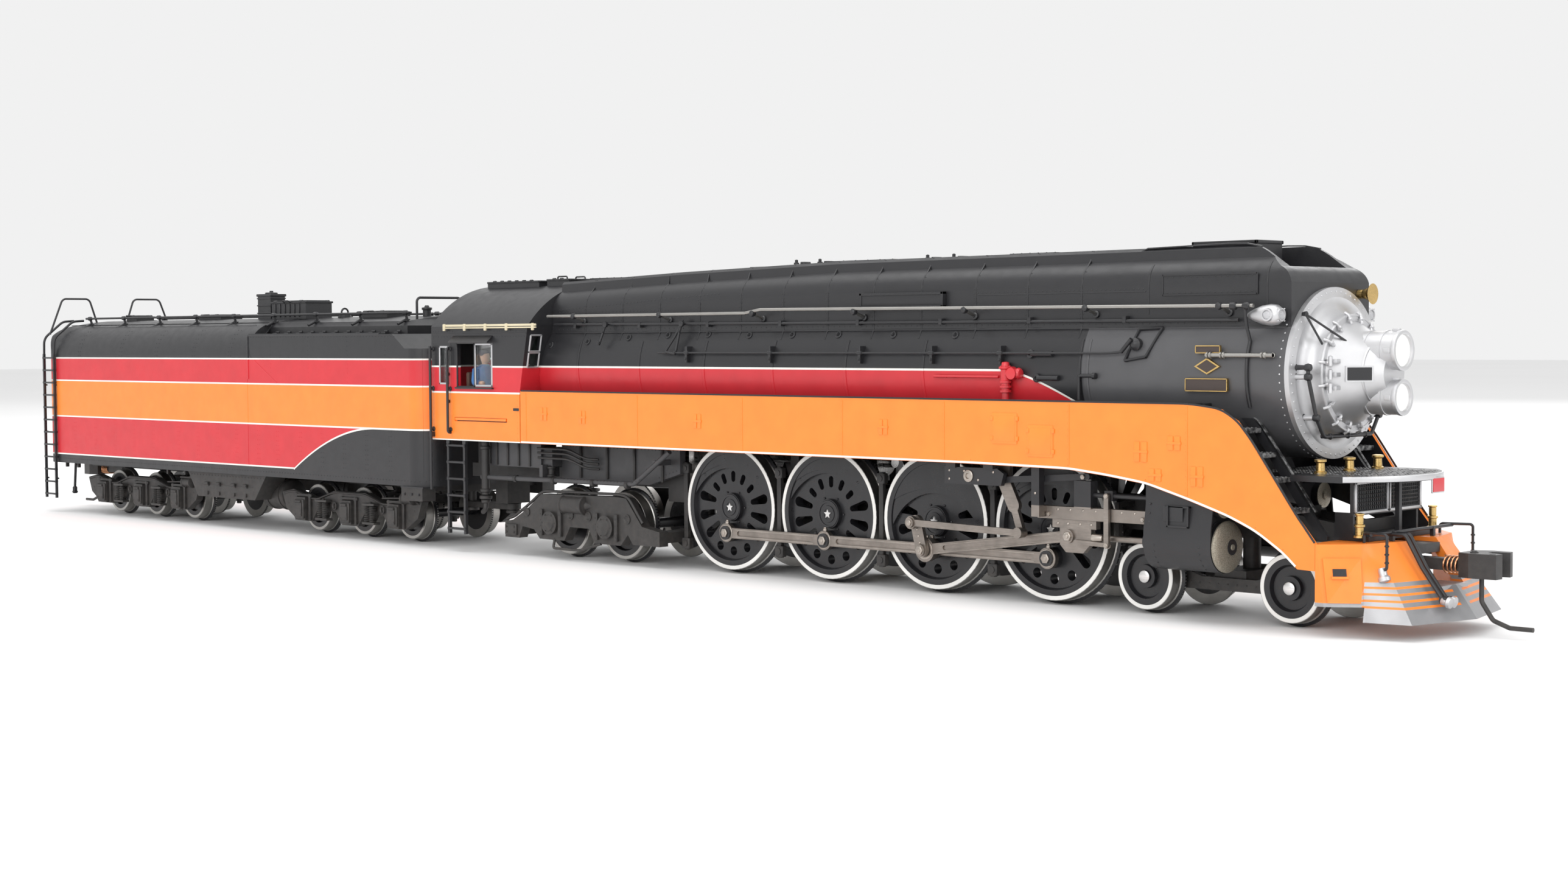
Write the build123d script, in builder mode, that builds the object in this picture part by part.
from build123d import *
from math import asin, atan2, cos, degrees, hypot, radians, sin, sqrt
import os

# HO scale (1:87.1) streamlined 4-8-4 steam locomotive with its twelve-wheel tender.
# Millimetres. +X is forward, +Z up, -Y is the engineer's (right) side.
# The origin is the middle of the model's length and width, on the surface it stands on.
# Distances along the train are counted from the main driving axle, heights from the rail head.

# ---------------------------------------------------------------- driving dimensions
MAIN_X = 102.75            # main driving axle, ahead of the origin
FLANGE = 0.7               # wheel flange depth, so the rail head is this far above the floor

DRIVER_R = 11.66           # 80 inch drivers
DRIVER_PITCH = 25.08       # 86 inch driver spacing
CRANK = 4.67               # 32 inch stroke
LEAD_R = 5.25              # 36 inch wheels
LEAD_X = (70.0, 43.7)
TRAIL_R = 6.6              # 45 inch wheels
TRAIL_X = (-80.0, -96.8)
TENDER_R = 5.25
TENDER_PITCH = 17.7
TENDER_TRUCK_X = (-167.1, -255.9)

WHEEL_BACK = 7.2           # half of the back-to-back distance
WHEEL_FACE = 10.0
RUN = 0.06                 # radial running clearance of a pin in its hole
GAP = 0.05                 # gap between separate castings that meet on a curve

SIDE_ROD = (10.3, 11.2)    # distances of each layer of the running gear from the centre line
MAIN_ROD = (11.6, 12.7)
RETURN_CRANK = (12.85, 13.6)
ECCENTRIC_ROD = (14.2, 15.0)
LINK = (13.3, 14.1)
CROSSHEAD = (13.0, 14.1)
LEVER = (14.65, 15.2)

CYL_Y = 13.5               # cylinder centre line
CYL_Z = 11.2
CYL_R = 3.95
WRIST_X = 31.8             # crosshead pin at mid stroke
ECC_THROW = 1.2
ECC_DROP = 4.7             # return crank pin above the main crank pin
LINK_PIVOT = (18.3, 19.7)
LINK_FOOT = (21.9, 11.2)
LEVER_TOP = (39.9, 18.0)
LEVER_LEN = 7.8

BOILER_R = 13.0
BOILER_Z = 37.3
SMOKEBOX_X = 70.7
CASING_HALF = 11.0
WALL = 1.0

HALF_WIDTH = 17.5          # cab, skirts and tender
SKIRT_T = 0.8
SKIRT_BOTTOM = 22.4
SKIRT_REAR = -102.45
BOARD_Z = (32.0, 32.8)     # running board

CAB_REAR = -131.5
CAB_FRONT = -99.85
CAB_FOOT_X = -102.7
EAVE_Z = 45.8
ROOF_Z = 54.3

TENDER_REAR = -297.7
TENDER_FRONT = -134.6
TENDER_BOTTOM = 12.2
BUNKER_X = -201.5
LEDGE_Z = 44.4
SHOULDER_Z = 39.2
DECK_Y = 10.2
DECK_Z = 47.2
CROWN_Z = 48.4

DECK_TOP = 22.5            # pilot deck
STRINGER_Y = (10.6, 11.2)

MOTOR_X = (-92.0, -62.0)
MOTOR_Z = 20.7
MOTOR_R = 6.9
GEAR_R = 6.4
WORM_R = 2.5

RIGHT, LEFT = -1, 1
SIDES = {"right": RIGHT, "left": LEFT}
AXLES = [DRIVER_PITCH * n for n in (1, 0, -1, -2)]
# quartering: the right crank pins hang down, the left ones point forward
CRANK_AT = {RIGHT: (0.0, -CRANK), LEFT: (CRANK, 0.0)}
ECC_AT = {RIGHT: (-ECC_THROW, ECC_DROP - CRANK), LEFT: (0.0, -ECC_THROW)}


# ---------------------------------------------------------------- planes and small helpers
def at(x, y, z):
    """A point from its distances: along the train, across it, and above the rail head."""
    return (MAIN_X + x, y, FLANGE + z)


def side_plane(y):
    """The plane seen from the right side: local x is forward, local y is up."""
    return Plane(origin=at(0, y, 0), x_dir=(1, 0, 0), z_dir=(0, -1, 0))


def cross_plane(x):
    """The plane seen from the front: local x is +Y, local y is up."""
    return Plane(origin=at(x, 0, 0), x_dir=(0, 1, 0), z_dir=(1, 0, 0))


def level_plane(z):
    """The plan view: local x is forward, local y is +Y."""
    return Plane(origin=at(0, 0, z), x_dir=(1, 0, 0), z_dir=(0, 0, 1))


def block(x0, x1, y0, y1, z0, z1, mode=Mode.ADD):
    """A plain rectangular piece between its corners."""
    with Locations(at((x0 + x1) / 2, (y0 + y1) / 2, (z0 + z1) / 2)):
        Box(abs(x1 - x0), abs(y1 - y0), abs(z1 - z0), mode=mode)


def pair(x0, x1, y0, y1, z0, z1, mode=Mode.ADD):
    """The same piece on both sides of the centre line."""
    for side in (RIGHT, LEFT):
        block(x0, x1, side * y0, side * y1, z0, z1, mode)


def outline(plane, points, far, mode=Mode.ADD):
    """A straight-sided outline in a plane, extruded by a signed amount."""
    with BuildSketch(plane) as profile:
        with BuildLine():
            Polyline(*points, close=True)
        make_face()
    extrude(profile.sketch, amount=far, mode=mode)


def across(points, y0, y1, mode=Mode.ADD):
    """A side-view outline that runs across the train from y0 to y1."""
    outline(side_plane(y0), points, y0 - y1, mode)


def along(points, x0, x1, mode=Mode.ADD):
    """A front-view outline that runs along the train from x0 to x1."""
    outline(cross_plane(x0), points, x1 - x0, mode)


def upright(points, z0, z1, mode=Mode.ADD):
    """A plan-view outline that rises from z0 to z1."""
    outline(level_plane(z0), points, z1 - z0, mode)


def round_y(x, z, r, y0, y1, mode=Mode.ADD):
    """A round piece whose axis runs across the train."""
    with BuildSketch(side_plane(y0)) as profile:
        with Locations((x, z)):
            Circle(r)
    extrude(profile.sketch, amount=y0 - y1, mode=mode)


def round_x(y, z, r, x0, x1, mode=Mode.ADD):
    """A round piece whose axis runs along the train."""
    with BuildSketch(cross_plane(x0)) as profile:
        with Locations((y, z)):
            Circle(r)
    extrude(profile.sketch, amount=x1 - x0, mode=mode)


def round_z(x, y, r, z0, z1, mode=Mode.ADD):
    """An upright round piece."""
    with BuildSketch(level_plane(z0)) as profile:
        with Locations((x, y)):
            Circle(r)
    extrude(profile.sketch, amount=z1 - z0, mode=mode)


def bar(start, end, width, y0, y1, mode=Mode.ADD):
    """A flat bar with round ends in the side view, between two pin centres."""
    length = hypot(end[0] - start[0], end[1] - start[1])
    angle = degrees(atan2(end[1] - start[1], end[0] - start[0]))
    with BuildSketch(side_plane(y0)) as profile:
        with Locations(((start[0] + end[0]) / 2, (start[1] + end[1]) / 2)):
            SlotCenterToCenter(length, width, rotation=angle)
    extrude(profile.sketch, amount=y0 - y1, mode=mode)


def wire(points, radius, bend):
    """Round bar bent along a route of straight runs."""
    route = [Vector(*at(*p)) for p in points]
    with BuildLine() as path:
        if len(route) > 2:
            FilletPolyline(*route, radius=bend)
        else:
            Line(*route)
    with BuildSketch(Plane(origin=path.line @ 0, z_dir=path.line % 0)) as section:
        Circle(radius)
    sweep(section.sketch, path=path.line)


def ladder(x0, x1, y, z0, z1, rungs, stile=0.3):
    """A ladder whose stiles stand side by side along the train."""
    for x in (x0, x1):
        block(x - stile, x + stile, y - stile, y + stile, z0, z1)
    for n in range(rungs):
        z = z0 + 1.0 + n * (z1 - z0 - 2.0) / (rungs - 1)
        block(x0, x1, y - 0.45, y + 0.45, z - 0.2, z + 0.2)


made = []


def finish(part, name):
    """Label a finished piece and keep it for export."""
    part.label = name
    made.append((name, part))


def shifted(base, offset):
    return (base[0] + offset[0], base[1] + offset[1])


def turned(point, centre, angle):
    """A side-view point turned about a centre, anticlockwise in degrees."""
    dx = point[0] - centre[0]
    dz = point[1] - centre[1]
    c = cos(radians(angle))
    s = sin(radians(angle))
    return (centre[0] + dx * c - dz * s, centre[1] + dx * s + dz * c)


# ---------------------------------------------------------------- boiler and its streamlined casing
CASING_TOP = ((-103.0, 54.4), (-64.0, 55.7), (-24.0, 56.6), (SMOKEBOX_X, 56.9))
TRENCH_X = 39.0            # the open trough around the chimney starts here
TRENCH_HALF = 7.9
TRENCH_Z = 53.4


def casing_section(x, top):
    """Cross-section of the casing: flat sides, round shoulders and a flat crown."""
    with BuildSketch(cross_plane(x)) as section:
        with BuildLine():
            foot = Line((CASING_HALF, 39.0), (CASING_HALF, top - 5.8))
            shoulder = ThreePointArc(foot @ 1, (10.2, top - 3.4), (8.6, top - 2.0))
            lip = Line(shoulder @ 1, (8.5, top - 0.5))
            crown = Line(lip @ 1, (8.0, top))
            Line(crown @ 1, (-8.0, top))
            Line((-8.0, top), (-8.5, top - 0.5))
            Line((-8.5, top - 0.5), (-8.6, top - 2.0))
            ThreePointArc((-8.6, top - 2.0), (-10.2, top - 3.4), (-CASING_HALF, top - 5.8))
            Line((-CASING_HALF, top - 5.8), (-CASING_HALF, 39.0))
            Line((-CASING_HALF, 39.0), foot @ 0)
        make_face()
    return section.sketch


with BuildPart() as boiler_shell:
    for start, end in zip(CASING_TOP, CASING_TOP[1:]):
        loft([casing_section(*start), casing_section(*end)], ruled=True)
    round_x(0, BOILER_Z, BOILER_R, -103.0, SMOKEBOX_X)
    # the front of the casing sweeps down to the brow over the smokebox
    with BuildSketch(side_plane(12.0)) as brow:
        with BuildLine():
            sweep_down = Spline((61.0, 57.0), (63.6, 56.5), (66.2, 55.0), (68.5, 53.4))
            edge = Spline(sweep_down @ 1, (69.9, 52.5), (SMOKEBOX_X + 0.05, 50.8))
            Polyline(edge @ 1, (76.0, 50.8), (76.0, 60.0), (61.0, 60.0), sweep_down @ 0)
        make_face()
    extrude(brow.sketch, amount=24.0, mode=Mode.SUBTRACT)
    block(TRENCH_X, 76.0, -TRENCH_HALF, TRENCH_HALF, TRENCH_Z, 60.0, Mode.SUBTRACT)
    # chimney in the trough
    block(48.2, 59.8, -3.6, 3.6, TRENCH_Z, 57.5)
    block(49.4, 58.6, -2.4, 2.4, 54.5, 58.0, Mode.SUBTRACT)
    # hollow inside, and open underneath for the motor
    round_x(0, BOILER_Z, BOILER_R - WALL, -104.0, SMOKEBOX_X - WALL, Mode.SUBTRACT)
    block(-104.0, SMOKEBOX_X - 1.5, -9.6, 9.6, 40.0, 51.4, Mode.SUBTRACT)
    block(-104.0, -46.0, -8.6, 8.6, 20.0, 34.0, Mode.SUBTRACT)
    # the rear end follows the slant of the cab front
    slant = [(CAB_FOOT_X + 0.02, 20.0), (CAB_FOOT_X + 0.02, 32.0), (CAB_FRONT + 0.02, 46.0),
             (CAB_FRONT + 0.02, 60.0), (-106.0, 60.0), (-106.0, 20.0)]
    across(slant, 20.0, -20.0, Mode.SUBTRACT)
finish(boiler_shell.part, "boiler_shell")

# smokebox front: rim, dished ring, door and the cone that carries two lamp barrels
LAMPS = ((40.7, 2.9, 2.35), (33.75, 2.6, 2.0))
LAMP_FRONT = 82.9
CONE = ((74.6, 7.9), (79.0, 4.6), (81.4, 3.0), (81.4, 0.0))
with BuildPart() as smokebox_front:
    with BuildSketch(Plane(origin=at(0, 0, BOILER_Z), x_dir=(1, 0, 0), z_dir=(0, -1, 0))) as half:
        with BuildLine():
            rim = Polyline((SMOKEBOX_X + 0.02, 0), (SMOKEBOX_X + 0.02, 13.0), (71.5, 13.0),
                           (71.7, 11.5))
            dish = ThreePointArc(rim @ 1, (72.0, 9.6), (73.6, 8.9))
            Polyline(dish @ 1, (74.6, 8.9), *CONE, rim @ 0)
        make_face()
    revolve(half.sketch, axis=Axis(at(0, 0, BOILER_Z), (1, 0, 0)))
    for z, r, glass_r in LAMPS:
        round_x(0, z, r, 76.0, LAMP_FRONT)
        round_x(0, z, glass_r + 0.1, LAMP_FRONT - 0.6, LAMP_FRONT + 0.1, Mode.SUBTRACT)
    for side in (RIGHT, LEFT):
        for y, z in ((11.2, 36.9), (8.9, 30.8)):
            round_x(side * y, z, 0.42, 71.0, 73.4)
finish(smokebox_front.part, "smokebox_front")

with BuildPart() as headlight_lenses:
    for z, r, glass_r in LAMPS:
        round_x(0, z, glass_r, LAMP_FRONT - 0.58, LAMP_FRONT - 0.1)
finish(headlight_lenses.part, "headlight_lenses")

# boiler fittings: horn, class lamps, chimney-side plates, safety and check valves
with BuildPart() as boiler_fittings:
    with BuildSketch(Plane(origin=at(0, 7.9, 49.3), x_dir=(1, 0, 0), z_dir=(0, -1, 0))) as horn:
        with BuildLine():
            Polyline((70.75, 0), (70.75, 0.7), (71.6, 0.7), (72.5, 0.95), (73.2, 1.6), (73.2, 0),
                     close=True)
        make_face()
    revolve(horn.sketch, axis=Axis(at(0, 7.9, 49.3), (1, 0, 0)))
    for side in (RIGHT, LEFT):
        with Locations(at(68.6, side * 12.35, 46.1)):
            Sphere(1.3)
        # builder's plates, left blank
        block(55.3, 59.8, side * 13.32, side * 13.0, 40.4, 41.6)
        block(53.5, 61.1, side * 13.4, side * 13.05, 34.6, 36.6)
        # check valve with its pipe
        round_z(18.6, side * 13.65, 0.55, 32.9, 38.6)
        round_x(side * 13.65, 37.2, 0.5, 18.6, 21.8)
        # number boards on the flanks of the casing, left blank
        block(-15.1, 3.2, side * 11.8, side * 11.02, 48.2, 50.6)
finish(boiler_fittings.part, "boiler_fittings")

# ---------------------------------------------------------------- handrails
RAIL_Y = 13.9
with BuildPart() as handrails:
    for side in (RIGHT, LEFT):
        y = side * RAIL_Y
        wire([(-98.0, y, 47.6), (-42.0, y, 47.6), (-38.0, y, 48.2), (66.0, y, 47.5)], 0.3, 2.0)
        for x in range(-90, 61, 25):
            wire([(x, side * 11.15, 46.6), (x, y, 47.5)], 0.28, 0.3)
        wire([(57.5, side * 13.6, 40.1), (69.2, side * 13.6, 40.1)], 0.28, 0.3)
        wire([(58.0, side * 12.8, 40.1), (58.0, side * 13.6, 40.1)], 0.2, 0.3)
        wire([(68.7, side * 12.8, 40.1), (68.7, side * 13.6, 40.1)], 0.2, 0.3)
    # grab rail across the smokebox front
    wire([(73.7, -11.2, 38.3), (73.7, -11.2, 36.9), (73.7, -8.9, 30.8), (73.7, -6.8, 27.9),
          (73.7, 6.8, 27.9), (73.7, 8.9, 30.8), (73.7, 11.2, 36.9), (73.7, 11.2, 38.3)], 0.3, 1.0)
finish(handrails.part, "handrails")


# ---------------------------------------------------------------- cab
def cab_section(x, inset):
    """Cross-section of the cab: upright walls under an arched roof, drawn in by an inset."""
    wall_y = HALF_WIDTH - inset
    eave = EAVE_Z - inset / 8
    with BuildSketch(cross_plane(x)) as section:
        with BuildLine():
            ThreePointArc((wall_y, eave), (0, ROOF_Z - inset), (-wall_y, eave))
            Polyline((-wall_y, eave), (-wall_y, SKIRT_BOTTOM), (wall_y, SKIRT_BOTTOM),
                     (wall_y, eave))
        make_face()
    return section.sketch


WINDOW = (-122.7, -111.3, 33.6, 42.3)
DOOR_LIGHT = (-129.0, -125.6, 33.9, 41.8)
FRONT_LIGHTS = ((37.7, 40.2), (40.9, 43.7))
with BuildPart() as cab_shell:
    extrude(cab_section(CAB_REAR, 0.0), amount=CAB_FRONT - CAB_REAR)
    extrude(cab_section(CAB_REAR + 0.8, 0.8), amount=CAB_FRONT - CAB_REAR - 1.6, mode=Mode.SUBTRACT)
    # open underneath, slanted front wall over the boiler
    block(CAB_REAR + 0.8, CAB_FRONT - 4.0, -16.7, 16.7, 20.0, 24.0, Mode.SUBTRACT)
    front = [(CAB_FOOT_X, 20.0), (CAB_FOOT_X, 32.0), (CAB_FRONT, 46.0), (-96.0, 46.0), (-96.0, 20.0)]
    across(front, 20.0, -20.0, Mode.SUBTRACT)
    wall = [(CAB_FOOT_X, SKIRT_BOTTOM), (CAB_FOOT_X, 32.0), (CAB_FRONT, 46.0),
            (CAB_FRONT - 0.8, 46.0), (CAB_FOOT_X - 0.8, 32.0), (CAB_FOOT_X - 0.8, SKIRT_BOTTOM)]
    across(wall, 16.8, -16.8)
    # rear doorway, side windows, door lights and front lights
    block(CAB_REAR - 1.0, CAB_REAR + 1.0, -5.0, 5.0, 24.0, 44.0, Mode.SUBTRACT)
    for x0, x1, z0, z1 in (WINDOW, DOOR_LIGHT):
        block(x0, x1, -20.0, 20.0, z0, z1, Mode.SUBTRACT)
    for z0, z1 in FRONT_LIGHTS:
        pair(-106.0, -98.0, 13.9, 16.2, z0, z1, Mode.SUBTRACT)
    # ventilator slot, awnings, gutters and roof hatch
    pair(-123.9, -106.7, 17.2, 18.0, 26.4, 27.2, Mode.SUBTRACT)
    for side in (RIGHT, LEFT):
        awning = [(side * 17.4, 44.0), (side * 19.0, 42.6), (side * 18.9, 42.4), (side * 17.4, 43.6)]
        along(awning, -124.0, -111.1)
        block(-126.6, -97.0, side * 17.3, side * 18.0, 45.5, 46.1)
    block(-129.0, -112.0, -4.5, 4.5, 53.6, 54.9)
    block(-110.0, -103.0, -4.0, 4.0, 53.6, 55.1)
finish(cab_shell.part, "cab_shell")

with BuildPart() as cab_glass:
    for side in (RIGHT, LEFT):
        block(-116.9, WINDOW[1], side * 16.9, side * 17.2, WINDOW[2], WINDOW[3])
        block(DOOR_LIGHT[0], DOOR_LIGHT[1], side * 16.9, side * 17.2, DOOR_LIGHT[2], DOOR_LIGHT[3])
finish(cab_glass.part, "cab_glass")

with BuildPart() as cab_interior:
    block(CAB_REAR + 0.85, CAB_FOOT_X - 0.85, -16.6, 16.6, 22.4, 23.4)
    round_x(0, BOILER_Z, 11.0, -107.5, CAB_FOOT_X - 0.85)
    block(-107.5, CAB_FOOT_X - 0.85, -8.0, 8.0, 23.4, 34.0)
    for side in (RIGHT, LEFT):
        block(-120.5, -114.5, side * 9.5, side * 15.5, 23.4, 29.8)
finish(cab_interior.part, "cab_interior")

with BuildPart() as engineer_figure:
    seat_z = 29.85
    with Locations(at(-117.5, -12.5, seat_z + 4.4)):
        Cone(2.7, 2.0, 8.8)
    with Locations(at(-117.5, -12.5, seat_z + 10.6)):
        Sphere(1.9)
    block(-117.9, -117.1, -12.9, -12.1, seat_z + 8.0, seat_z + 9.6)
finish(engineer_figure.part, "engineer_figure")

with BuildPart() as cab_ladders:
    for side in (RIGHT, LEFT):
        ladder(-126.6, -121.2, side * 17.0, 3.1, 22.3, 6, 0.32)
        wire([(-131.0, side * 18.3, 41.8), (-131.0, side * 18.3, 12.0)], 0.28, 0.3)
        wire([(-125.2, side * 17.55, 41.4), (-125.2, side * 18.3, 41.4), (-125.2, side * 18.3, 24.0),
              (-125.2, side * 17.55, 24.0)], 0.28, 0.5)
        block(-131.4, -130.6, side * 17.52, side * 18.4, 23.0, 24.0)
finish(cab_ladders.part, "cab_ladders")


# ---------------------------------------------------------------- skirts, stairs and pilot
def skirt(side):
    """One side skirt with its running board and the front stairs."""
    edge = [(SKIRT_REAR, SKIRT_BOTTOM), (14.3, 22.35), (34.3, 22.1), (41.4, 21.4), (49.1, 20.4),
            (56.8, 18.3), (64.0, 16.1), (68.8, 14.1), (73.5, 11.1), (75.9, 9.1), (78.8, 9.0),
            (78.8, 12.9), (75.8, 16.5), (71.1, 23.0), (67.8, 27.6), (65.4, 30.4), (62.5, 32.1),
            (57.0, 32.8), (SKIRT_REAR, 32.8)]
    with BuildPart() as piece:
        across(edge, side * HALF_WIDTH, side * (HALF_WIDTH - SKIRT_T))
        block(SKIRT_REAR, 57.0, side * 12.0, side * 17.0, *BOARD_Z)
        stringer = [(57.0, 32.8), (62.5, 32.3), (65.4, 29.4), (68.0, 25.6), (70.6, 22.3),
                    (73.8, 17.6), (77.0, 13.5), (77.0, 12.95), (75.6, 12.95), (72.6, 17.0),
                    (69.4, 21.6), (66.8, 25.2), (64.2, 28.8), (61.5, 31.2), (57.0, 31.6)]
        across(stringer, side * STRINGER_Y[0], side * STRINGER_Y[1])
        for x, z in ((64.6, 28.6), (67.2, 25.0), (69.8, 21.4), (73.0, 17.0)):
            block(x - 2.2, x + 1.0, side * 11.0, side * 17.0, z, z + 0.5)
        block(54.0, 57.5, side * 10.7, side * 14.0, 32.0, 32.8)
        round_x(0, BOILER_Z, BOILER_R + GAP, SKIRT_REAR - 1, 72.0, Mode.SUBTRACT)
    return piece.part


for name, side in SIDES.items():
    finish(skirt(side), name + "_skirt")

PILOT_TOP = [(77.5, 17.5), (79.1, 17.5), (83.8, 13.2), (84.6, 10.3), (87.3, 0.0)]
PILOT_FOOT = [(77.5, 17.5), (80.6, 17.5), (85.3, 14.5), (92.0, 13.2), (95.0, 0.0)]


def plan(points, z, inset=0.0):
    """A symmetric plan outline at one height, drawn in by an inset."""
    right = [(x - inset, y - inset * 0.9 if y else y) for x, y in points]
    with BuildSketch(level_plane(z)) as face:
        with BuildLine():
            Polyline(*right, *[(x, -y) for x, y in reversed(right[:-1])], close=True)
        make_face()
    return face.sketch


with BuildPart() as pilot:
    loft([plan(PILOT_FOOT, 1.8), plan(PILOT_TOP, 12.9)], ruled=True)
    loft([plan(PILOT_FOOT, 1.0, 1.0), plan(PILOT_TOP, 12.1, 1.0)], ruled=True, mode=Mode.SUBTRACT)
    block(70.0, 77.6, -20.0, 20.0, 0.0, 14.0, Mode.SUBTRACT)
    block(76.0, 85.0, -20.0, 20.0, 1.0, 3.95, Mode.SUBTRACT)
    pair(77.0, 78.85, 16.5, 18.0, 3.0, 14.0, Mode.SUBTRACT)
    block(76.0, 99.0, -3.9, 3.9, 6.6, 14.0, Mode.SUBTRACT)
    # pocket of the front coupler
    block(84.0, 91.5, -3.9, 3.9, 5.9, 6.6)
    pair(77.6, 80.4, 12.0, 16.0, 12.0, 12.9)
finish(pilot.part, "pilot")

with BuildPart() as pilot_deck:
    with BuildSketch(level_plane(DECK_TOP - 0.9)) as deck:
        with BuildLine():
            sides = Polyline((80.6, -13.6), (72.2, -13.6), (72.2, -9.8), (62.5, -9.8), (62.5, 9.8),
                             (72.2, 9.8), (72.2, 13.6), (80.6, 13.6))
            ThreePointArc(sides @ 1, (87.0, 0), sides @ 0)
        make_face()
    extrude(deck.sketch, amount=0.9)
    # frame of the meshed panels below, post, side struts and the beam over the pilot
    pair(80.0, 80.5, 9.4, 9.9, 16.8, 21.6)
    block(80.0, 80.5, -9.9, 9.9, 16.6, 17.1)
    block(80.0, 80.4, -0.3, 0.3, 16.6, 21.6)
    block(80.1, 80.3, -9.6, 9.6, 17.0, 21.6)
    block(81.9, 82.6, -0.4, 0.4, 13.0, 21.6)
    block(77.7, 82.8, -9.4, 9.4, 12.95, 13.7)
    block(77.05, 77.9, -9.4, 9.4, 12.95, 15.5)
    pair(77.2, 80.2, 8.9, 9.4, 13.0, 17.0)
finish(pilot_deck.part, "pilot_deck")

with BuildPart() as pilot_fittings:
    # uncoupling rod, grab irons and air hoses with their couplings
    wire([(84.6, -11.8, 14.2), (84.6, 11.8, 14.2)], 0.25, 0.3)
    for side in (RIGHT, LEFT):
        wire([(83.0, side * 11.0, 12.95), (83.0, side * 11.0, 14.4), (87.6, side * 12.6, 14.4),
              (87.6, side * 12.6, 9.4), (86.9, side * 12.2, 9.4)], 0.22, 0.5)
        block(84.3, 84.9, side * 6.2, side * 5.6, 12.95, 14.4)
        round_z(82.0, side * 10.6, 0.5, 13.72, 16.6)
    for y in (-6.2, -5.0):
        wire([(82.2, y, 14.0), (86.9, y, 14.0), (89.6, y, 9.4), (92.9, y, 5.0)], 0.3, 1.0)
        round_x(y, 4.9, 0.55, 92.6, 94.0)
finish(pilot_fittings.part, "pilot_fittings")

# ---------------------------------------------------------------- chassis
with BuildPart() as chassis_frame:
    for side in (RIGHT, LEFT):
        y0 = side * 3.2
        y1 = side * 4.8
        rails = [(-58.0, 8.2), (29.0, 8.2), (31.0, 12.0), (77.0, 12.0), (77.0, 14.6), (60.0, 17.0),
                 (-58.0, 17.0)]
        across(rails, y0, y1)
        # rear cradle beside the motor, and the tail for the drawbar
        tail = [(-64.0, 14.4), (-128.0, 14.4), (-128.0, 17.2), (-64.0, 17.2)]
        across(tail, side * 7.5, side * 8.3)
    for x in AXLES:
        round_y(x, DRIVER_R, 1.5 + RUN, -5.0, 5.0, Mode.SUBTRACT)
        if x < 20:
            block(x + 8.0, x + 17.0, -5.0, 5.0, 10.4, 14.2, Mode.SUBTRACT)
    for x in (13.5, -11.0, -37.0, 40.0, 66.0):
        block(x - 1.2, x + 1.2, -3.3, 3.3, 12.4, 16.9)
    # cross plates, truck pivots and drawbar pin
    block(52.0, 61.5, -4.8, 4.8, 12.0, 13.2)
    round_z(56.85, 0, 1.4, 3.6, 12.1)
    block(-69.0, -63.6, -8.3, 8.3, 11.8, 13.0)
    pair(-69.0, -63.6, 7.5, 8.3, 12.5, 15.0)
    block(-63.8, -56.0, -4.8, 4.8, 11.8, 13.0)
    round_z(-66.3, 0, 1.2, 7.0, 12.0)
    block(-130.0, -120.5, -8.3, 8.3, 14.4, 17.2)
    block(-129.0, -125.0, -3.0, 3.0, 8.4, 15.0)
    round_z(-127.0, 0, 0.9, 6.4, 8.6)
    round_z(-127.0, 0, 1.5, 6.2, 6.8)
    # coupler pocket at the front
    block(74.0, 87.0, -3.7, 3.7, 10.9, 12.3)
    round_z(84.5, 0, 0.8, 8.0, 11.0)
    # brackets up to the running boards and the cab floor
    for x in (-DRIVER_PITCH * 1.5, DRIVER_PITCH * 0.5):
        pair(x - 1.0, x + 1.0, 4.7, 5.6, 13.0, 22.0)
        pair(x - 1.0, x + 1.0, 4.7, 12.0, 22.0, 23.2)
        pair(x - 1.0, x + 1.0, 11.2, 12.0, 22.0, 26.0)
    round_x(0, BOILER_Z, BOILER_R + GAP, -60.0, 60.0, Mode.SUBTRACT)
    pair(-128.0, -124.0, 7.5, 8.3, 17.0, 22.38)
    # brake hangers with their shoes behind each driver
    for x in AXLES:
        pair(x + 12.2, x + 12.9, 8.2, 9.2, 10.5, 16.6)
        pair(x + 12.2, x + 12.9, 4.7, 9.0, 15.8, 16.6)
finish(chassis_frame.part, "chassis_frame")

with BuildPart() as cylinder_block:
    for side in (RIGHT, LEFT):
        y = side * CYL_Y
        round_x(y, CYL_Z, CYL_R, 49.0, 60.2)
        round_x(y, CYL_Z, 3.5, 60.0, 61.4)
        round_x(y, CYL_Z, 1.2, 61.2, 62.2)
        valve = [(side * 9.6, 13.0), (side * 16.6, 14.6), (side * 16.6, 17.4), (side * 15.6, 19.6),
                 (side * 9.6, 19.6)]
        along(valve, 49.0, 60.0)
        round_x(side * 14.0, 17.6, 2.1, 60.0, 61.0)
        # gland for the piston rod, bored through
        round_x(y, CYL_Z, 1.4, 46.6, 49.1)
        round_x(y, CYL_Z, 0.5 + RUN, 46.0, 58.0, Mode.SUBTRACT)
        # step box on the outside, seen above the cylinder
        block(52.2, 55.8, side * 16.4, side * 17.3, 14.9, 17.2)
        wall = [(side * 4.85, 15.0), (side * 10.0, 15.0), (side * 10.0, 19.0), (side * 6.0, 24.0),
                (side * 6.0, 27.0), (side * 4.85, 27.0)]
        along(wall, 49.0, 60.0)
    block(49.0, 60.0, -5.0, 5.0, 17.05, 26.0)
    round_x(0, BOILER_Z, BOILER_R + GAP, 45.0, 65.0, Mode.SUBTRACT)
finish(cylinder_block.part, "cylinder_block")

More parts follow.
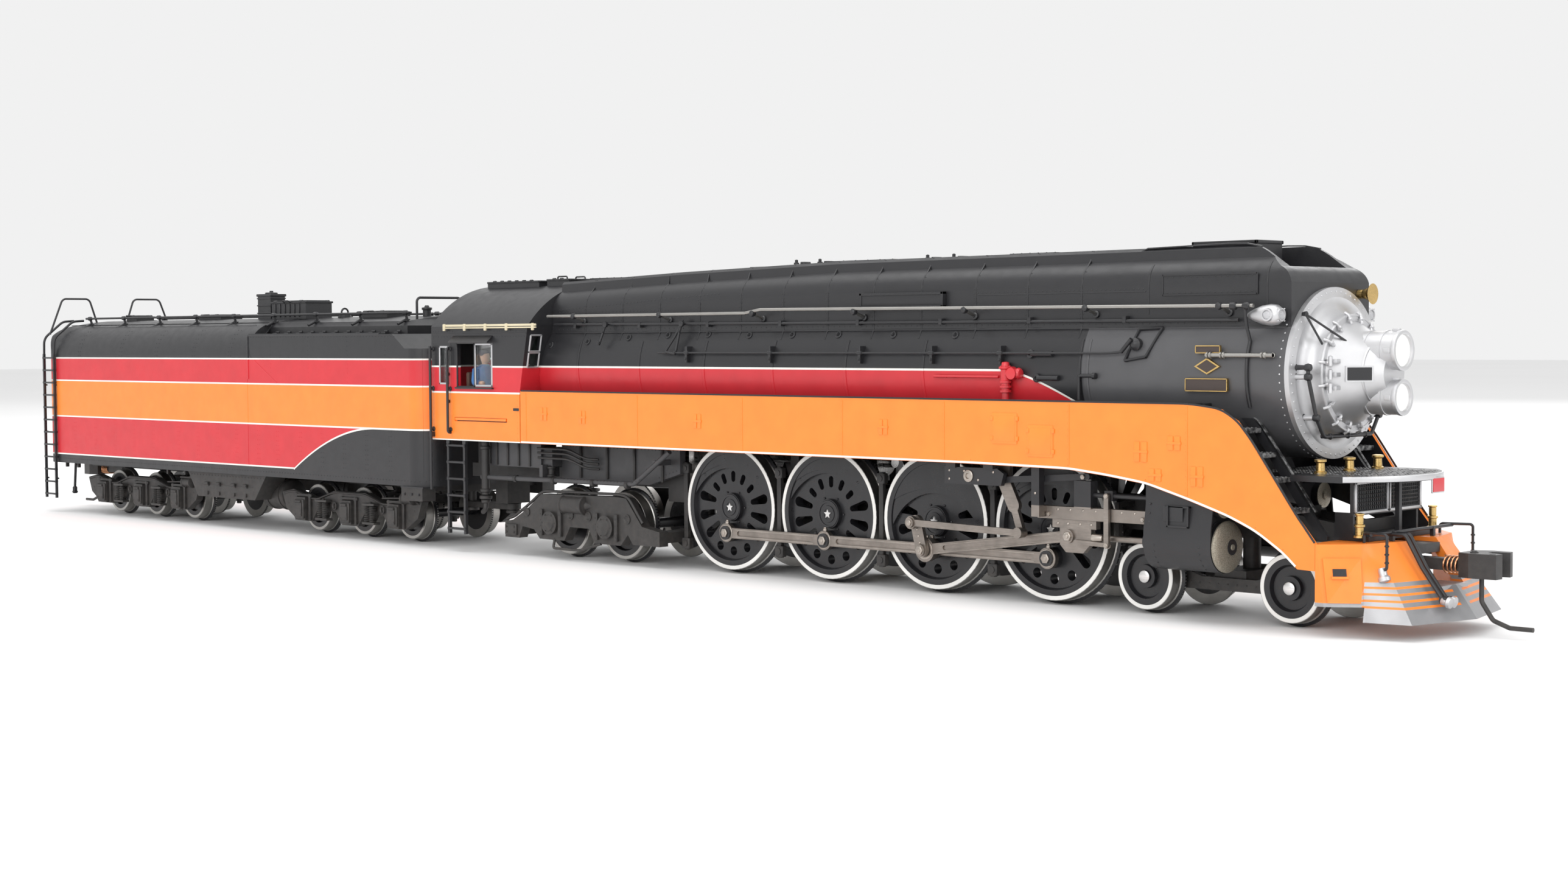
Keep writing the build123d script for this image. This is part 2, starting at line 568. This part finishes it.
with BuildPart() as crosshead_guides:
    for side in (RIGHT, LEFT):
        block(25.8, 48.95, side * 13.0, side * 14.5, 13.9, 15.9)
        block(33.5, 36.8, side * 13.2, side * 15.0, 15.8, 20.2)
        # hanger to the running board
        block(26.0, 27.6, side * 15.1, side * 16.4, 14.2, 31.98)
        block(26.0, 27.6, side * 14.4, side * 15.2, 14.2, 15.9)
        # valve stem and its guide
        round_x(side * 14.0, LEVER_TOP[1], 0.4, 36.5, 48.95)
        round_y(*LEVER_TOP, 0.3, side * 13.9, side * 15.2)
        block(39.1, 40.7, side * 13.5, side * 14.5, 17.2, 18.8)
finish(crosshead_guides.part, "crosshead_guides")

with BuildPart() as link_brackets:
    for side in (RIGHT, LEFT):
        plate = [(7.4, 18.8), (19.4, 18.8), (20.0, 20.8), (18.6, 21.6), (7.4, 21.6)]
        across(plate, side * 15.1, side * 16.0)
        block(8.0, 10.0, side * 15.1, side * 16.4, 21.5, 31.98)
        block(16.0, 18.0, side * 15.1, side * 16.4, 21.5, 31.98)
        round_y(*LINK_PIVOT, 0.7, side * 13.3, side * 15.2)
        bar((18.3, 19.7), (36.0, 20.9), 1.0, side * 14.25, side * 14.9)
finish(link_brackets.part, "link_brackets")

with BuildPart() as ash_pan:
    for side in (RIGHT, LEFT):
        pan = [(-98.0, 22.3), (-63.2, 22.3), (-63.2, 17.4), (-72.0, 14.9), (-98.0, 14.9)]
        across(pan, side * 9.2, side * 10.6)
        # feed pump box, its pipes and the upright valve
        block(-101.5, -98.1, side * 8.6, side * 13.0, 17.6, 21.4)
        block(-117.0, -101.0, side * 9.5, side * 13.5, 17.3, 22.35)
        wire([(-119.0, side * 14.4, 14.9), (-72.0, side * 14.4, 15.3), (-62.0, side * 14.4, 21.8)],
             0.5, 3.0)
        block(-100.5, -99.5, side * 10.0, side * 14.4, 15.5, 18.0)
        block(-66.8, -65.8, side * 10.4, side * 14.4, 19.0, 20.0)
    pair(-99.0, -97.0, 8.35, 9.3, 17.3, 22.3)
finish(ash_pan.part, "ash_pan")

# ---------------------------------------------------------------- motor and worm drive
with BuildPart() as motor_can:
    round_x(0, MOTOR_Z, MOTOR_R, *MOTOR_X)
    pair(MOTOR_X[0] + 2, MOTOR_X[1] - 2, 5.0, 7.48, 17.6, 22.0)
    round_x(0, MOTOR_Z, 4.2, MOTOR_X[0] + 3, MOTOR_X[1] - 3, Mode.SUBTRACT)
    round_x(0, MOTOR_Z, 1.0 + RUN, MOTOR_X[0] - 1, MOTOR_X[1] + 1, Mode.SUBTRACT)
finish(motor_can.part, "motor_can")

GEAR_X = -DRIVER_PITCH
with BuildPart() as motor_shaft:
    round_x(0, MOTOR_Z, 1.0, MOTOR_X[0] - 1.5, -18.0)
    round_x(0, MOTOR_Z, 3.9, MOTOR_X[0] + 5, MOTOR_X[1] - 5)
    round_x(0, MOTOR_Z, 3.4, MOTOR_X[1] + 4, MOTOR_X[1] + 13)
    round_x(0, MOTOR_Z, WORM_R, GEAR_X - 5.0, GEAR_X + 5.0)
finish(motor_shaft.part, "motor_shaft")

GEAR_TEETH = 28
with BuildPart() as worm_gear:
    round_y(GEAR_X, DRIVER_R, GEAR_R, -1.6, 1.6)
    for n in range(GEAR_TEETH):
        turn = radians(360 / GEAR_TEETH * n)
        round_y(GEAR_X + GEAR_R * cos(turn), DRIVER_R + GEAR_R * sin(turn), 0.28, -1.7, 1.7,
                Mode.SUBTRACT)
    round_y(GEAR_X, DRIVER_R, 2.6, -2.9, 2.9)
    round_y(GEAR_X, DRIVER_R, 1.51, -3.1, 3.1, Mode.SUBTRACT)
finish(worm_gear.part, "worm_gear")


# ---------------------------------------------------------------- wheels
def turned_wheelset(x, r, axle_r, axle_end, web, hub_r):
    """Two flanged wheels on one axle as a turned body: web is the outer face of the disc."""
    rim = r - 1.7
    side = [(0, axle_r), (WHEEL_BACK, axle_r), (WHEEL_BACK, r + FLANGE), (WHEEL_BACK + 0.45, r + FLANGE),
            (WHEEL_BACK + 0.8, r), (WHEEL_FACE, r - 0.06), (WHEEL_FACE, rim), (web, rim - 0.3),
            (web, hub_r), (WHEEL_FACE, hub_r - 0.1), (WHEEL_FACE, axle_r), (axle_end, axle_r)]
    upper = [(0, axle_r)] + side[1:]
    points = [(-y, z) for y, z in reversed(upper[1:])] + upper
    centre = Plane(origin=at(x, 0, r), x_dir=(0, 1, 0), z_dir=(1, 0, 0))
    with BuildSketch(centre) as profile:
        with BuildLine():
            Polyline((-axle_end, 0), *points, (axle_end, 0), close=True)
        make_face()
    revolve(profile.sketch, axis=Axis(at(x, 0, r), (0, 1, 0)))


PIN_R = 0.9
SLOTS = 14                 # tapered openings round each disc: distance out and radius of each end
SLOT_IN = (5.2, 0.5)
SLOT_OUT = (8.25, 0.9)
SLOT_SHORT = (6.2, 0.55)   # outer end of those under the balance weight


def opening(x, angle, inner, outer, side):
    """One tapered opening through the disc of a driver."""
    with BuildSketch(side_plane(side * 7.0)) as hole:
        for reach, r in (inner, outer):
            with Locations((x + reach * cos(angle), DRIVER_R + reach * sin(angle))):
                Circle(r)
        make_hull()
    extrude(hole.sketch, amount=-side * 2.6, mode=Mode.SUBTRACT)


for number, x in enumerate(AXLES, start=1):
    main = number == 2
    weight_r = 11.0 if main else 11.5
    weight_shift = 6.2 if main else 4.2
    with BuildPart() as wheelset:
        turned_wheelset(x, DRIVER_R, 1.5, WHEEL_FACE + 0.02, 9.2, 2.7)
        for side in (RIGHT, LEFT):
            pin = shifted((x, DRIVER_R), CRANK_AT[side])
            away = (-CRANK_AT[side][0] / CRANK, -CRANK_AT[side][1] / CRANK)
            round_y(*pin, 1.7, side * 9.0, side * 10.22)
            start = atan2(away[1], away[0])
            for n in range(SLOTS):
                turn = radians(360 / SLOTS * n)
                if cos(turn) > 0.6 and main:
                    continue
                if cos(turn) > 0.6:
                    opening(x, start + turn, SLOT_IN, SLOT_SHORT, side)
                elif cos(turn) < -0.85:
                    round_y(x + 8.2 * cos(start + turn), DRIVER_R + 8.2 * sin(start + turn), 0.85,
                            side * 7.0, side * 9.6, Mode.SUBTRACT)
                else:
                    opening(x, start + turn, SLOT_IN, SLOT_OUT, side)
            # balance weight
            with BuildSketch(side_plane(side * 9.1)) as weight:
                with Locations((x, DRIVER_R)):
                    Circle(9.8)
                with Locations((x - weight_shift * away[0], DRIVER_R - weight_shift * away[1])):
                    Circle(weight_r, mode=Mode.SUBTRACT)
            extrude(weight.sketch, amount=-side * 0.7)
            if main:
                round_y(*pin, 1.0, side * 10.0, side * 12.83)
            else:
                round_y(*pin, PIN_R, side * 10.0, side * 11.3)
                round_y(*pin, 1.3, side * 11.25, side * 11.55)
    finish(wheelset.part, f"driver_wheelset_{number}")

with BuildPart() as return_cranks:
    for side in (RIGHT, LEFT):
        pin = shifted((0, DRIVER_R), CRANK_AT[side])
        ecc = shifted((0, DRIVER_R), ECC_AT[side])
        bar(pin, ecc, 2.4, side * RETURN_CRANK[0], side * RETURN_CRANK[1])
        round_y(*pin, 1.0, side * 13.5, side * 14.05)
        round_y(*ecc, 0.5, side * 13.5, side * 15.1)
        round_y(*ecc, 0.85, side * 15.06, side * 15.35)
finish(return_cranks.part, "return_cranks")


# ---------------------------------------------------------------- rods and valve gear
def side_rod(side):
    """Coupling rod over all four crank pins."""
    y0 = side * SIDE_ROD[0]
    y1 = side * SIDE_ROD[1]
    pins = [shifted((x, DRIVER_R), CRANK_AT[side]) for x in AXLES]
    with BuildPart() as rod:
        bar(pins[0], pins[3], 1.9, y0, y1)
        for pin in pins:
            round_y(*pin, 1.75, y0, y1)
        groove_y = side * (SIDE_ROD[1] - 0.25)
        for a, b in zip(pins, pins[1:]):
            bar((a[0] - 3.4, a[1]), (b[0] + 3.4, b[1]), 0.9, groove_y, side * 11.3, Mode.SUBTRACT)
        for number, pin in enumerate(pins, start=1):
            hole = 1.0 if number == 2 else PIN_R
            round_y(*pin, hole + RUN, side * 10.0, side * 12.0, Mode.SUBTRACT)
    return rod.part


def wrist(side):
    """Crosshead pin at rest: where the main rod reaches the cylinder centre line."""
    length = hypot(WRIST_X, CYL_Z - (DRIVER_R - CRANK))
    pin = shifted((0, DRIVER_R), CRANK_AT[side])
    return (pin[0] + sqrt(length ** 2 - (CYL_Z - pin[1]) ** 2), CYL_Z)


def main_rod(side):
    """Connecting rod from the main crank pin to the crosshead."""
    y0 = side * MAIN_ROD[0]
    y1 = side * MAIN_ROD[1]
    pin = shifted((0, DRIVER_R), CRANK_AT[side])
    end = wrist(side)
    with BuildPart() as rod:
        bar(pin, end, 1.8, y0, y1)
        round_y(*pin, 2.1, y0, y1)
        round_y(*end, 1.25, y0, y1)
        ux = (end[0] - pin[0]) / hypot(end[0] - pin[0], end[1] - pin[1])
        uz = (end[1] - pin[1]) / hypot(end[0] - pin[0], end[1] - pin[1])
        bar((pin[0] + 4.5 * ux, pin[1] + 4.5 * uz), (end[0] - 4.0 * ux, end[1] - 4.0 * uz), 0.8,
            side * (MAIN_ROD[1] - 0.25), side * 12.9, Mode.SUBTRACT)
        round_y(*pin, 1.0 + RUN, side * 11.0, side * 13.0, Mode.SUBTRACT)
    return rod.part


def link_turn(side):
    """How far the expansion link is turned from its right-side rest place, in degrees."""
    if side == RIGHT:
        return 0.0
    ecc = shifted((0, DRIVER_R), ECC_AT[side])
    reach = hypot(LINK_FOOT[0] + ECC_THROW, LINK_FOOT[1] - DRIVER_R - ECC_AT[RIGHT][1])
    arm = hypot(LINK_FOOT[0] - LINK_PIVOT[0], LINK_FOOT[1] - LINK_PIVOT[1])
    span = hypot(LINK_PIVOT[0] - ecc[0], LINK_PIVOT[1] - ecc[1])
    from_ecc = (reach ** 2 + span ** 2 - arm ** 2) / (2 * span)
    off = sqrt(reach ** 2 - from_ecc ** 2)
    ux = (LINK_PIVOT[0] - ecc[0]) / span
    uz = (LINK_PIVOT[1] - ecc[1]) / span
    foot = (ecc[0] + from_ecc * ux + off * uz, ecc[1] + from_ecc * uz - off * ux)
    now = atan2(foot[1] - LINK_PIVOT[1], foot[0] - LINK_PIVOT[0])
    rest = atan2(LINK_FOOT[1] - LINK_PIVOT[1], LINK_FOOT[0] - LINK_PIVOT[0])
    return degrees(now - rest)


def eccentric_rod(side):
    """Rod from the return crank to the foot of the expansion link."""
    y0 = side * ECCENTRIC_ROD[0]
    y1 = side * ECCENTRIC_ROD[1]
    pin = shifted((0, DRIVER_R), ECC_AT[side])
    foot = turned(LINK_FOOT, LINK_PIVOT, link_turn(side))
    with BuildPart() as rod:
        bar(pin, foot, 1.1, y0, y1)
        round_y(*pin, 1.1, y0, y1)
        round_y(*foot, 0.9, y0, y1)
        round_y(*pin, 0.5 + RUN, side * 14.0, side * 15.2, Mode.SUBTRACT)
    return rod.part


def link(side):
    """Expansion link, hung from its trunnion, with the foot the eccentric rod drives."""
    y0 = side * LINK[0]
    y1 = side * LINK[1]
    turn = link_turn(side)
    top = turned((18.6, 23.2), LINK_PIVOT, turn)
    bottom = turned((20.4, 15.6), LINK_PIVOT, turn)
    foot = turned(LINK_FOOT, LINK_PIVOT, turn)
    pivot = LINK_PIVOT
    with BuildPart() as piece:
        bar(top, pivot, 2.4, y0, y1)
        bar(pivot, bottom, 2.4, y0, y1)
        bar(bottom, foot, 1.3, y0, y1)
        round_y(*foot, 0.85, y0, y1)
        round_y(*pivot, 0.7 + RUN, side * 13.0, side * 14.3, Mode.SUBTRACT)
    return piece.part


def crosshead(side):
    """Crosshead slipper, wrist boss, piston rod and union link."""
    y0 = side * CROSSHEAD[0]
    y1 = side * CROSSHEAD[1]
    pin = wrist(side)
    dx = pin[0] - WRIST_X
    with BuildPart() as piece:
        block(28.5 + dx, 37.2 + dx, y0, y1, 12.5, 13.84)
        body = [(30.0, 12.6), (36.2, 12.6), (36.2, 10.2), (34.6, 8.6), (31.2, 8.6), (30.0, 9.8)]
        across([(x + dx, z) for x, z in body], y0, y1)
        round_y(*pin, 1.1, side * 13.9, side * 14.5)
        round_x(side * CYL_Y, CYL_Z, 0.5, 36.0 + dx, 48.0 + dx)
        bar((33.4 + dx, 10.4), (39.9 + dx, 10.2), 0.7, side * 14.1, side * 14.6)
    return piece.part


def combination_lever(side):
    """Lever from the valve stem down to the union link."""
    shift = wrist(side)[0] - WRIST_X
    tilt = degrees(asin(shift / LEVER_LEN))
    foot = turned((LEVER_TOP[0], LEVER_TOP[1] - LEVER_LEN), LEVER_TOP, tilt)
    with BuildPart() as piece:
        bar(LEVER_TOP, foot, 0.9, side * LEVER[0], side * LEVER[1])
        round_y(*LEVER_TOP, 0.3 + RUN, side * 14.5, side * 15.3, Mode.SUBTRACT)
    return piece.part


MOVING = {"side_rod": side_rod, "main_rod": main_rod, "eccentric_rod": eccentric_rod,
          "expansion_link": link, "crosshead": crosshead, "combination_lever": combination_lever}
for kind, maker in MOVING.items():
    for name, side in SIDES.items():
        finish(maker(side), f"{kind}_{name}")

# ---------------------------------------------------------------- lead truck
LEAD_MID = (LEAD_X[0] + LEAD_X[1]) / 2
with BuildPart() as lead_truck_frame:
    frame_side = [(40.6, 3.6), (73.0, 3.6), (73.0, 7.2), (66.5, 7.2), (62.0, 5.6), (52.0, 5.6),
                  (47.0, 7.2), (40.6, 7.2)]
    for side in (RIGHT, LEFT):
        across(frame_side, side * 5.2, side * 6.6)
    block(54.0, 59.7, -6.0, 6.0, 4.0, 6.8)
    for x in LEAD_X:
        round_y(x, LEAD_R, 1.0 + RUN, -7.0, 7.0, Mode.SUBTRACT)
    round_z(LEAD_MID, 0, 1.4 + RUN, 3.0, 7.5, Mode.SUBTRACT)
finish(lead_truck_frame.part, "lead_truck_frame")

for number, x in enumerate(LEAD_X, start=1):
    with BuildPart() as wheelset:
        turned_wheelset(x, LEAD_R, 1.0, WHEEL_FACE + 0.25, 9.3, 1.9)
    finish(wheelset.part, f"lead_wheelset_{number}")

# ---------------------------------------------------------------- trailing truck
TRAIL_FRAME = (12.2, 14.4)
with BuildPart() as trailing_truck_frame:
    for side in (RIGHT, LEFT):
        y0 = side * TRAIL_FRAME[0]
        y1 = side * TRAIL_FRAME[1]
        shape = [(-111.6, 3.0), (-107.2, 3.0), (-106.0, 5.4), (-102.4, 5.0), (-100.6, 3.2),
                 (-93.0, 3.2), (-91.2, 6.0), (-85.6, 6.0), (-83.8, 3.2), (-76.2, 3.2), (-74.0, 5.4),
                 (-72.6, 3.6), (-65.0, 3.6), (-65.0, 6.4), (-70.0, 7.2), (-74.5, 12.4),
                 (-77.0, 12.6), (-100.0, 12.2), (-104.5, 9.0), (-109.0, 6.6), (-111.6, 6.2)]
        across(shape, y0, y1)
        round_x(side * 14.1, 10.4, 1.7, -93.2, -86.4)
        for x in TRAIL_X:
            round_y(x, TRAIL_R, 2.2, side * 14.3, side * 15.1)
        block(-69.2, -65.2, side * 5.0, side * 12.4, 4.2, 6.2)
        block(-110.0, -107.0, side * 12.4, 0, 3.6, 5.6)
    # tongue to the pivot ahead of the wheels
    block(-69.2, -63.8, -5.2, 5.2, 4.2, 6.4)
    round_z(-66.3, 0, 3.0, 6.3, 9.0)
    for x in TRAIL_X:
        round_y(x, TRAIL_R, 1.0 + RUN, -13.6, 13.6, Mode.SUBTRACT)
    round_z(-66.3, 0, 1.2 + RUN, 4.0, 9.5, Mode.SUBTRACT)
finish(trailing_truck_frame.part, "trailing_truck_frame")

for number, x in enumerate(TRAIL_X, start=1):
    with BuildPart() as wheelset:
        turned_wheelset(x, TRAIL_R, 1.0, 13.4, 9.3, 2.2)
    finish(wheelset.part, f"trailing_wheelset_{number}")

# ---------------------------------------------------------------- drawbar and tender
TENDER_PIN = -141.0
REAR_PIN = -290.0
with BuildPart() as drawbar:
    with BuildSketch(level_plane(7.0)) as plate:
        with Locations(((-127.0 + TENDER_PIN) / 2, 0)):
            SlotCenterToCenter(-127.0 - TENDER_PIN, 3.4)
        with Locations((-127.0, 0), (TENDER_PIN, 0)):
            Circle(0.9 + RUN, mode=Mode.SUBTRACT)
    extrude(plate.sketch, amount=1.2)
finish(drawbar.part, "drawbar")

with BuildPart() as tender_shell:
    with BuildSketch(cross_plane(TENDER_REAR)) as tank:
        with BuildLine():
            floor_line = Polyline((-17.5, SHOULDER_Z), (-17.5, TENDER_BOTTOM), (17.5, TENDER_BOTTOM),
                                  (17.5, SHOULDER_Z))
            left_arc = ThreePointArc(floor_line @ 1, (15.3, 44.9), (DECK_Y, DECK_Z))
            crown = ThreePointArc(left_arc @ 1, (0, CROWN_Z), (-DECK_Y, DECK_Z))
            ThreePointArc(crown @ 1, (-15.3, 44.9), floor_line @ 0)
        make_face()
    extrude(tank.sketch, amount=BUNKER_X - TENDER_REAR)
    # the bunker ahead of it has square ledges and a raised crown
    block(BUNKER_X, TENDER_FRONT, -17.5, 17.5, TENDER_BOTTOM, LEDGE_Z)
    hump = [(-11.5, LEDGE_Z - 1), (11.5, LEDGE_Z - 1), (11.5, 46.2), (10.4, 47.2), (0, CROWN_Z),
            (-10.4, 47.2), (-11.5, 46.2)]
    along(hump, BUNKER_X, -148.0)
    slope = [(-151.5, 50.0), (-150.0, 47.6), (-141.0, 41.3), (-130.0, 41.3), (-130.0, 50.0)]
    across(slope, 20.0, -20.0, Mode.SUBTRACT)
    # round corners in plan and over the rear end
    with BuildSketch(level_plane(TENDER_BOTTOM)) as corners:
        with Locations(((TENDER_REAR + TENDER_FRONT) / 2, 0)):
            RectangleRounded(TENDER_FRONT - TENDER_REAR, 35.0, 5.0)
    extrude(corners.sketch, amount=40.0, mode=Mode.INTERSECT)
    with BuildSketch(side_plane(18.0)) as tail:
        with BuildLine():
            up = Line((TENDER_REAR, 10.0), (TENDER_REAR, 41.0))
            over = ThreePointArc(up @ 1, (-295.4, 46.4), (-289.5, 48.6))
            Polyline(over @ 1, (-130.0, 48.6), (-130.0, 10.0), up @ 0)
        make_face()
    extrude(tail.sketch, amount=36.0, mode=Mode.INTERSECT)
    # hollow inside
    block(TENDER_REAR + WALL, BUNKER_X + 1, -16.5, 16.5, 10.0, 39.0, Mode.SUBTRACT)
    block(TENDER_REAR + 4.0, BUNKER_X + 1, -12.0, 12.0, 38.0, 45.0, Mode.SUBTRACT)
    block(BUNKER_X, -143.0, -16.5, 16.5, 10.0, 40.3, Mode.SUBTRACT)
    block(-144.0, TENDER_FRONT - WALL, -14.0, 14.0, 10.0, 40.3, Mode.SUBTRACT)
finish(tender_shell.part, "tender_shell")

with BuildPart() as tender_underframe:
    block(-294.5, -138.0, -13.9, 13.9, 12.2, 13.2)
    block(-296.5, -136.0, -5.0, 5.0, 10.6, 12.2)
    apron = [(-229.6, 12.15), (-196.0, 12.15), (-200.8, 6.4), (-225.3, 6.4)]
    for side in (RIGHT, LEFT):
        across(apron, side * 11.0, side * 16.6)
        block(-224.0, -202.0, side * 4.8, side * 11.2, 10.6, 12.15)
        block(-142.2, -134.8, side * 14.5, side * 17.9, 9.2, 12.1)
        block(-142.0, -137.0, side * 4.8, side * 15.0, 11.0, 12.15)
    for x in TENDER_TRUCK_X:
        round_z(x, 0, 1.2, 6.2, 10.7)
    round_z(TENDER_PIN, 0, 0.9, 6.4, 10.7)
    round_z(TENDER_PIN, 0, 1.5, 6.2, 6.8)
    # rear coupler pocket
    block(-297.6, -288.0, -3.2, 3.2, 10.6, 12.1)
    round_z(REAR_PIN, 0, 0.8, 7.8, 10.7)
finish(tender_underframe.part, "tender_underframe")

with BuildPart() as tender_fittings:
    for side in (RIGHT, LEFT):
        # deck handrails on their brackets
        wire([(-288.0, side * 10.6, 49.0), (-148.5, side * 10.6, 49.0)], 0.25, 0.3)
        for n in range(9):
            x = -286.0 + 17.0 * n
            wire([(x, side * 10.0, 47.35), (x, side * 10.6, 49.0)], 0.3, 0.3)
        # rear side ladders with the hoops over their heads
        ladder(-296.6, -291.4, side * 18.0, 3.0, 40.0, 12, 0.28)
        for x in (-296.6, -291.4):
            wire([(x, side * 18.0, 39.0), (x, side * 17.9, 44.0), (x, side * 12.6, 48.3),
                  (x, side * 9.5, 48.5)], 0.3, 3.0)
        wire([(-294.0, side * 17.6, 45.0), (-294.0, side * 13.9, 54.2), (-294.0, side * 6.4, 54.2),
              (-294.0, side * 4.3, 48.0)], 0.25, 1.5)
    block(-219.5, -214.0, -3.0, 1.0, 48.1, 53.8)
    block(-212.6, -198.4, -3.6, 3.6, 48.1, 51.9)
    block(-177.0, -167.0, -3.2, 3.2, 48.1, 49.1)
    block(-282.0, -277.0, -2.5, 2.5, 48.1, 49.2)
    block(-246.0, -236.0, -3.0, 3.0, 48.1, 49.0)
    round_z(-187.9, 0, 1.4, 48.1, 48.9)
    round_z(-156.5, 0, 0.9, 47.9, 49.8)
    wire([(-152.0, -6.0, 46.5), (-152.0, -6.0, 52.3), (-152.0, 6.0, 52.3), (-152.0, 6.0, 46.5)],
         0.28, 1.0)
    add(tender_shell.part, mode=Mode.SUBTRACT)
finish(tender_fittings.part, "tender_fittings")


def tender_truck(x):
    """Six-wheel truck frame: cast side frames, transoms and the centre bearing."""
    with BuildPart() as frame:
        for side in (RIGHT, LEFT):
            side_cast = [(x - 26.5, 8.6), (x - 22.0, 9.4), (x - 13.0, 7.6), (x - 6.0, 9.6),
                         (x + 6.0, 9.6), (x + 13.0, 7.6), (x + 22.0, 9.4), (x + 26.5, 8.6),
                         (x + 25.0, 5.0), (x + 20.6, 2.4), (x + 14.8, 2.4), (x + 12.6, 5.0),
                         (x + 5.4, 5.0), (x + 3.0, 2.2), (x - 3.0, 2.2), (x - 5.4, 5.0),
                         (x - 12.6, 5.0), (x - 14.8, 2.4), (x - 20.6, 2.4), (x - 25.0, 5.0)]
            across(side_cast, side * 12.0, side * 13.8)
            for centre in (x - TENDER_PITCH, x, x + TENDER_PITCH):
                block(centre - 2.0, centre + 2.0, side * 13.6, side * 15.0, 2.6, 7.8)
            for centre in (x - 9.0, x + 9.0):
                round_y(centre, 5.2, 1.7, side * 13.7, side * 14.8)
                block(centre - 1.2, centre + 1.2, side * 2.0, side * 12.2, 6.8, 8.6)
        block(x - 10.2, x + 10.2, -2.6, 2.6, 6.9, 9.0)
        for centre in (x - TENDER_PITCH, x, x + TENDER_PITCH):
            round_y(centre, TENDER_R, 0.9 + RUN, -13.2, 13.2, Mode.SUBTRACT)
        round_z(x, 0, 1.2 + RUN, 5.0, 9.5, Mode.SUBTRACT)
    return frame.part


for name, x in zip(("front", "rear"), TENDER_TRUCK_X):
    finish(tender_truck(x), f"tender_{name}_truck_frame")
    for number, offset in enumerate((TENDER_PITCH, 0, -TENDER_PITCH), start=1):
        with BuildPart() as wheelset:
            turned_wheelset(x + offset, TENDER_R, 0.9, 13.0, 9.3, 1.9)
        finish(wheelset.part, f"tender_{name}_wheelset_{number}")


# ---------------------------------------------------------------- couplers
def coupler(pin_x, way):
    """Knuckle coupler with its trip pin; way is +1 at the front and -1 at the rear."""
    with BuildPart() as piece:
        block(pin_x - way * 1.8, pin_x + way * 10.0, -1.1, 1.1, 8.7, 10.4)
        head = [(9.0, -2.8), (10.8, -3.3), (15.0, -3.1), (15.0, -1.2), (12.4, -0.6), (12.4, 0.8),
                (14.8, 1.6), (14.4, 3.1), (11.4, 3.3), (9.0, 2.2)]
        upright([(pin_x + way * x, way * y) for x, y in head], 8.0, 11.6)
        reach = [(11.2, 8.1), (11.2, 4.4), (13.0, 1.8), (15.6, 0.9), (19.2, 0.9)]
        wire([(pin_x + way * x, 0, z) for x, z in reach], 0.35, 1.2)
        round_z(pin_x, 0, 0.8 + RUN, 8.0, 11.0, Mode.SUBTRACT)
    return piece.part


finish(coupler(84.5, 1), "front_coupler")
finish(coupler(REAR_PIN, -1), "rear_coupler")

os.makedirs("parts", exist_ok=True)
for name, part in made:
    export_step(part, f"parts/{name}.step")
